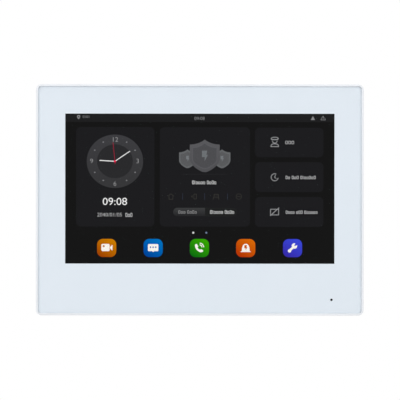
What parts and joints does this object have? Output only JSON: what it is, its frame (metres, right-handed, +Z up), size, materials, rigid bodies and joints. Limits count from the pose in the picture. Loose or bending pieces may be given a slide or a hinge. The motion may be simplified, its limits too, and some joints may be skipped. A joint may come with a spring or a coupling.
{
  "type": "video intercom monitor",
  "caption": "Wall-hung touch monitor for a door intercom: flat glass front in a slim white housing that lifts off a hooked steel bracket, with a cable bay behind.",
  "frame": {"origin": "centre of the bracket's four plug holes, on the wall plane", "axes": "+X to the right as seen from the room, +Z up, -Y out from the wall to the glass"},
  "size_m": [0.188, 0.025, 0.1326],
  "materials": {
    "housing": "fine matt spark texture",
    "bracket_steel": "galvanised",
    "cover_glass": "polished, clear",
    "print": "printed white ink",
    "tape": "black foam tape",
    "adhesive": "clear",
    "sensor_glass": "clear",
    "flex": "amber film over copper",
    "foam": "black foam",
    "bright_steel": "bright pressed steel",
    "cell_glass": "polariser",
    "film": "frosted film",
    "acrylic": "clear acrylic",
    "lamp": "yellow phosphor on a white strip",
    "tray": "white and silver tray",
    "screw": "nickel plated",
    "standoff": "zinc plated",
    "board": "green solder mask",
    "chip": "moulded epoxy",
    "sink": "extruded, natural",
    "shield": "tin plated sheet",
    "antenna": "copper on film",
    "black_lead": "black jacket",
    "red_lead": "red jacket",
    "contact": "gold flashed",
    "pin": "tin plated",
    "terminal": "moulded green",
    "can": "drawn cans",
    "ivory": "moulded ivory",
    "switch": "moulded black",
    "basket": "moulded black",
    "cone": "pressed paper",
    "magnet": "zinc plated yoke",
    "capsule": "drawn can",
    "boot": "moulded rubber",
    "label": "blank silver film"
  },
  "bodies": {
    "bracket": {"wall_bracket": "bracket_steel"},
    "monitor": {"front_frame": "housing", "cover_lens": "cover_glass", "lens_print": "print", "lens_tape": "tape", "optical_adhesive": "adhesive", "touch_sensor": "sensor_glass", "touch_flex": "flex", "display_gasket": "foam", "lcd_frame": "bright_steel", "lcd_cell": "cell_glass", "optical_films": "film", "light_guide": "acrylic", "led_strip": "lamp", "backlight_tray": "tray", "lcd_flex": "flex", "chassis_plate": "bright_steel", "chassis_screws": "screw", "board_standoffs": "standoff", "cover_standoffs": "standoff", "main_board": "board", "board_screws": "screw", "processor": "chip", "memory_chips": "chip", "heat_sink": "sink", "wifi_module": "shield", "wifi_antenna": "antenna", "antenna_coax": "black_lead", "ethernet_transformer": "chip", "network_jack": "shield", "network_contacts": "contact", "power_header": "terminal", "alarm_header": "terminal", "header_pins": "pin", "power_coils": "chip", "capacitors": "can", "card_socket": "shield", "flex_connectors": "ivory", "lead_connectors": "ivory", "reset_switch": "switch", "speaker_gasket": "foam", "speaker_frame": "basket", "speaker_cone": "cone", "speaker_magnet": "magnet", "speaker_screws": "screw", "speaker_lead": "red_lead", "microphone": "capsule", "microphone_boot": "boot", "microphone_lead": "black_lead", "rear_cover": "housing", "cover_screws": "screw", "wall_pads": "boot", "rating_label": "label"},
    "power_terminal": {"power_plug": "terminal", "power_plug_screws": "screw"},
    "alarm_terminal": {"alarm_plug": "terminal", "alarm_plug_screws": "screw"},
    "reset": {"reset_button": "ivory"}
  },
  "joints": [
    {"name": "lift_off_hooks", "type": "slide", "parent": "bracket", "child": "monitor", "axis": [0, 0, 1], "range_m": [0, 0.006]},
    {"name": "power_plug_pull", "type": "slide", "parent": "monitor", "child": "power_terminal", "axis": [0, 0, -1], "range_m": [0, 0.008]},
    {"name": "alarm_plug_pull", "type": "slide", "parent": "monitor", "child": "alarm_terminal", "axis": [0, 0, -1], "range_m": [0, 0.008]},
    {"name": "reset_press", "type": "slide", "parent": "monitor", "child": "reset", "axis": [1, 0, 0], "range_m": [0, 0.0003], "stiffness_N_per_m": 300}
  ]
}
